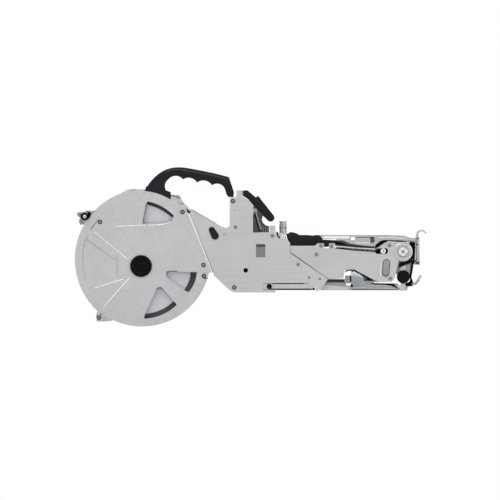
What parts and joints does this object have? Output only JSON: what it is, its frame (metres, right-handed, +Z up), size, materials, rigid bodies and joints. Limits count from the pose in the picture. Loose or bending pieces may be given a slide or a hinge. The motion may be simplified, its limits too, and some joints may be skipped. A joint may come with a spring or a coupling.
{
  "type": "tape feeder",
  "caption": "Slim pneumatic feeder for component tape, with reel case, handle, clamp lever, sprocket drive and peel rollers.",
  "frame": {"origin": "middle of the seat face under the body", "axes": "+X towards the pick-up end, +Z up, the open side with the knob faces -Y"},
  "size_m": [0.5277, 0.0293, 0.2389],
  "materials": {
    "brushed_plate": "satin",
    "disc_aluminium": "satin",
    "black_plastic": "matte",
    "dark_plastic": "matte",
    "rubber": "matte",
    "dark_steel": "satin",
    "polished_steel": "polished",
    "cast_grey": "satin",
    "nickel": "polished"
  },
  "bodies": {
    "feeder": {"air_fitting": "nickel", "air_hose": "rubber", "air_valve": "cast_grey", "bearing_boss": "brushed_plate", "bottom_rail": "brushed_plate", "cylinder_barrel": "cast_grey", "cylinder_head": "cast_grey", "door_tab": "brushed_plate", "exit_chute": "black_plastic", "far_front_plate": "brushed_plate", "far_main_plate": "brushed_plate", "handle": "black_plastic", "handle_foot": "brushed_plate", "housing_lid": "black_plastic", "lever_block": "brushed_plate", "lever_bracket": "dark_steel", "lever_spring": "polished_steel", "near_front_plate": "brushed_plate", "near_main_plate": "brushed_plate", "neck_plates": "brushed_plate", "oblong_cover": "cast_grey", "pivot_pins": "polished_steel", "post_block": "brushed_plate", "reel_back": "disc_aluminium", "reel_cover": "disc_aluminium", "reel_rim": "disc_aluminium", "roller_bracket": "brushed_plate", "roller_housing": "black_plastic", "screws": "polished_steel", "seat_block": "brushed_plate", "spacer_posts": "brushed_plate", "tape_rail": "brushed_plate", "wear_strips": "dark_plastic"},
    "rim_door": {"rim_door": "disc_aluminium"},
    "rear_roller": {"rear_roller": "rubber"},
    "spindle": {"reel_spindle": "polished_steel", "reel_knob": "black_plastic"},
    "sleeve": {"reel_sleeve": "dark_plastic"},
    "turn_button": {"turn_button": "black_plastic"},
    "clamp_lever": {"clamp_lever": "black_plastic"},
    "lock_crank": {"lock_crank": "brushed_plate"},
    "lock_slide": {"lock_bar": "brushed_plate", "lock_rail": "brushed_plate", "front_hook": "brushed_plate"},
    "bar_roller": {"bar_roller": "rubber"},
    "thumb_screw": {"thumb_screw": "nickel"},
    "rear_take_up": {"rear_take_up_roller": "rubber"},
    "front_take_up": {"front_take_up_roller": "rubber"},
    "sprocket": {"sprocket": "polished_steel", "ratchet_wheel": "polished_steel", "sprocket_shaft": "polished_steel"},
    "drive_lever": {"drive_lever": "brushed_plate", "lever_pins": "polished_steel"},
    "follower_wheel": {"follower_wheel": "rubber"},
    "pawl": {"pawl": "polished_steel"},
    "piston": {"piston_rod": "polished_steel", "rod_clevis": "brushed_plate"},
    "tape_guide": {"tape_guide": "brushed_plate"},
    "shutter": {"shutter": "brushed_plate"},
    "front_latch": {"front_latch": "brushed_plate"}
  },
  "joints": [
    {"name": "rim_door_hinge", "type": "hinge", "parent": "feeder", "child": "rim_door", "pos_m": [-0.23325, 0, -0.0375], "axis": [0, -1, 0], "range_deg": [0, 60]},
    {"name": "rear_roller_spin", "type": "hinge", "parent": "feeder", "child": "rear_roller", "pos_m": [-0.25475, 0, 0.114], "axis": [0, 1, 0], "continuous": true},
    {"name": "spindle_pull", "type": "slide", "parent": "feeder", "child": "spindle", "axis": [0, -1, 0], "range_m": [0, 0.0155]},
    {"name": "reel_spin", "type": "hinge", "parent": "spindle", "child": "sleeve", "pos_m": [-0.17025, 0, 0.03975], "axis": [0, 1, 0], "continuous": true},
    {"name": "turn_button_turn", "type": "hinge", "parent": "feeder", "child": "turn_button", "pos_m": [-0.05925, 0, 0.085], "axis": [0, -1, 0], "range_deg": [0, 90]},
    {"name": "clamp_lever_lift", "type": "hinge", "parent": "feeder", "child": "clamp_lever", "pos_m": [-0.01425, 0, 0.149], "axis": [0, -1, 0], "range_deg": [0, 32]},
    {"name": "lock_crank_turn", "type": "hinge", "parent": "feeder", "child": "lock_crank", "pos_m": [0.00925, 0, 0.063], "axis": [0, 1, 0], "range_deg": [-0.5, 5.5]},
    {"name": "lock_slide_pull", "type": "slide", "parent": "feeder", "child": "lock_slide", "axis": [-1, 0, 0], "range_m": [-0.0005, 0.0051]},
    {"name": "bar_roller_spin", "type": "hinge", "parent": "lock_slide", "child": "bar_roller", "pos_m": [0.02225, 0, 0.0091], "axis": [0, 1, 0], "continuous": true},
    {"name": "thumb_screw_turn", "type": "hinge", "parent": "feeder", "child": "thumb_screw", "pos_m": [0.04275, 0, 0.0894], "axis": [0, 0, 1], "continuous": true},
    {"name": "rear_take_up_spin", "type": "hinge", "parent": "feeder", "child": "rear_take_up", "pos_m": [0.06325, 0, 0.0783], "axis": [0, 1, 0], "continuous": true},
    {"name": "front_take_up_spin", "type": "hinge", "parent": "feeder", "child": "front_take_up", "pos_m": [0.07525, 0, 0.0783], "axis": [0, 1, 0], "continuous": true},
    {"name": "sprocket_spin", "type": "hinge", "parent": "feeder", "child": "sprocket", "pos_m": [0.22275, 0, 0.06105], "axis": [0, 1, 0], "continuous": true},
    {"name": "piston_stroke", "type": "slide", "parent": "feeder", "child": "piston", "axis": [1, 0, 0], "range_m": [0, 0.0139]},
    {"name": "drive_lever_swing", "type": "hinge", "parent": "feeder", "child": "drive_lever", "pos_m": [0.22275, 0, 0.06105], "axis": [0, -1, 0], "range_deg": [-0.2, 14.75]},
    {"name": "follower_wheel_spin", "type": "hinge", "parent": "drive_lever", "child": "follower_wheel", "pos_m": [0.22325, 0, 0.0235], "axis": [0, 1, 0], "continuous": true},
    {"name": "pawl_lift", "type": "hinge", "parent": "drive_lever", "child": "pawl", "pos_m": [0.21095, 0, 0.05445], "axis": [0, -1, 0], "range_deg": [0, 8], "stiffness_Nm_per_rad": 0.002},
    {"name": "tape_guide_lift", "type": "hinge", "parent": "feeder", "child": "tape_guide", "pos_m": [0.09675, 0, 0.0832], "axis": [0, -1, 0], "range_deg": [0, 25]},
    {"name": "shutter_slide", "type": "slide", "parent": "tape_guide", "child": "shutter", "axis": [-1, 0, 0], "range_m": [0, 0.004]},
    {"name": "front_latch_tilt", "type": "hinge", "parent": "feeder", "child": "front_latch", "pos_m": [0.24465, 0, 0.04425], "axis": [0, 1, 0], "range_deg": [0, 12], "stiffness_Nm_per_rad": 0.05}
  ],
  "couplings": [
    {"joint": "lock_crank_turn", "follows": "clamp_lever_lift", "ratio": 0.157},
    {"joint": "lock_slide_pull", "follows": "clamp_lever_lift", "m_per_rad": 0.0087},
    {"joint": "front_take_up_spin", "follows": "rear_take_up_spin", "ratio": -1},
    {"joint": "drive_lever_swing", "follows": "piston_stroke", "rad_per_m": 18.271}
  ]
}
